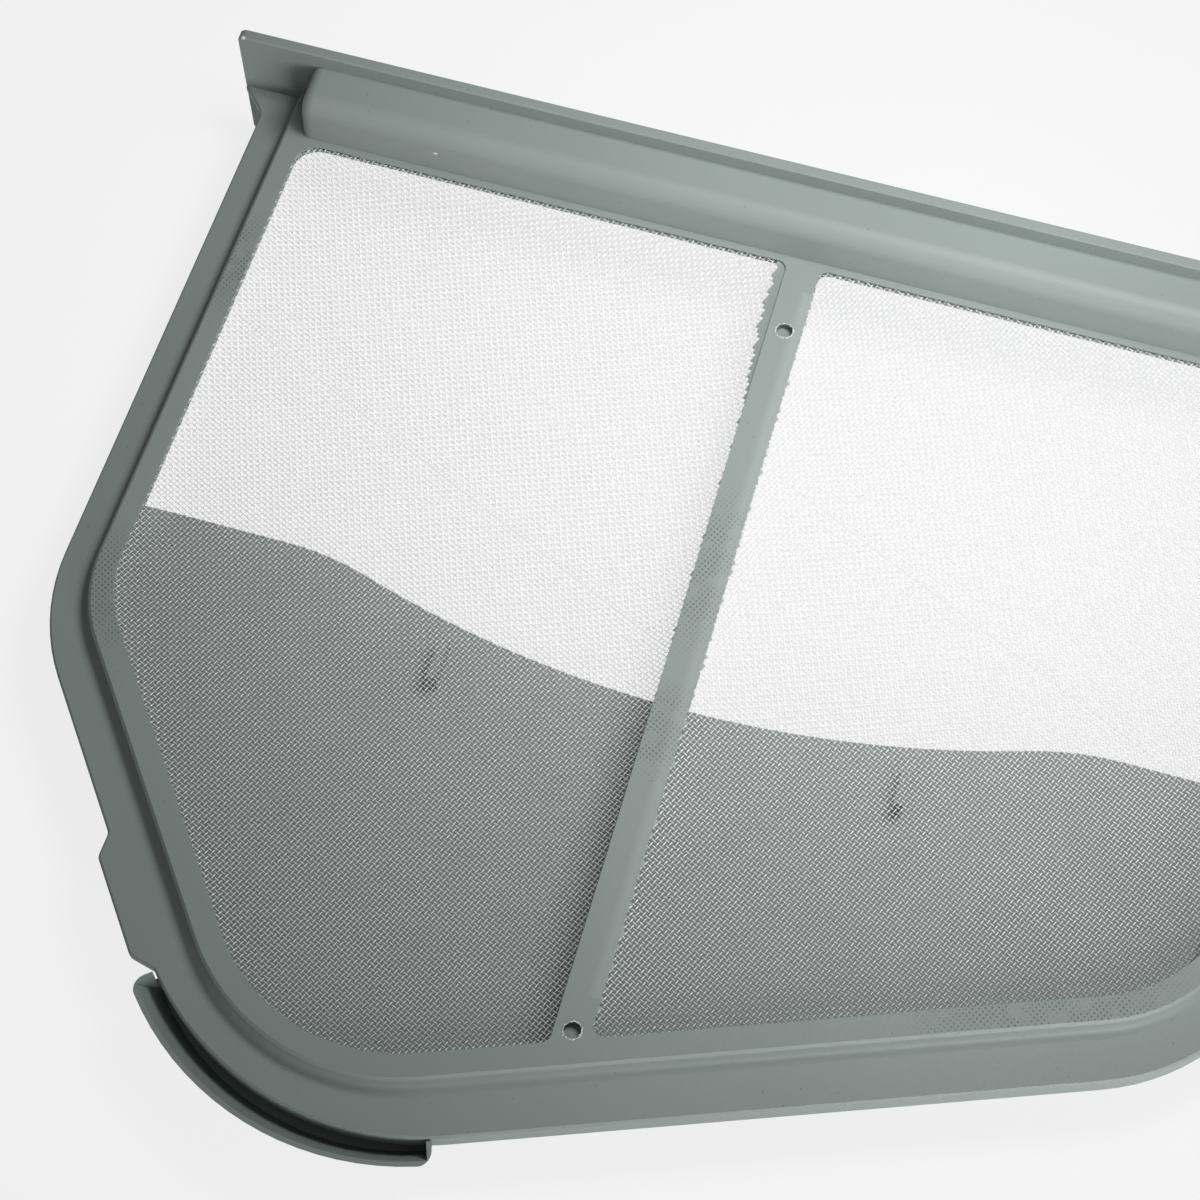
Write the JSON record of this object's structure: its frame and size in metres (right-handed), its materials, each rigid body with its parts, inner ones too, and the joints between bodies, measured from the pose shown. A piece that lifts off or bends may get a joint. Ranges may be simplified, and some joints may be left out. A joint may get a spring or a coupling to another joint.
{
  "type": "tumble dryer lint filter",
  "caption": "Hinged tumble dryer lint filter: a grey frame with woven mesh in two panels and a capped grip, over an open-topped rear pocket shell.",
  "frame": {"origin": "middle of the filter's bounding box in plan, on the plane under the back of the rear shell and the lower edge of the cap plate", "axes": "+Z out of the mesh side, +Y towards the cap plate, +X towards the hinge side"},
  "size_m": [0.2626, 0.2238, 0.0348],
  "materials": {
    "grey_plastic": "matte, fine texture",
    "woven_mesh": "translucent monofilament weave"
  },
  "bodies": {
    "rear": {"rear_shell": "grey_plastic"},
    "front": {"front_frame": "grey_plastic", "filter_mesh": "woven_mesh"}
  },
  "joints": [
    {"name": "side_hinge", "type": "hinge", "parent": "rear", "child": "front", "pos_m": [0.12815, 0.03749, 0.015], "axis": [0, 1, 0], "range_deg": [0, 110]}
  ]
}
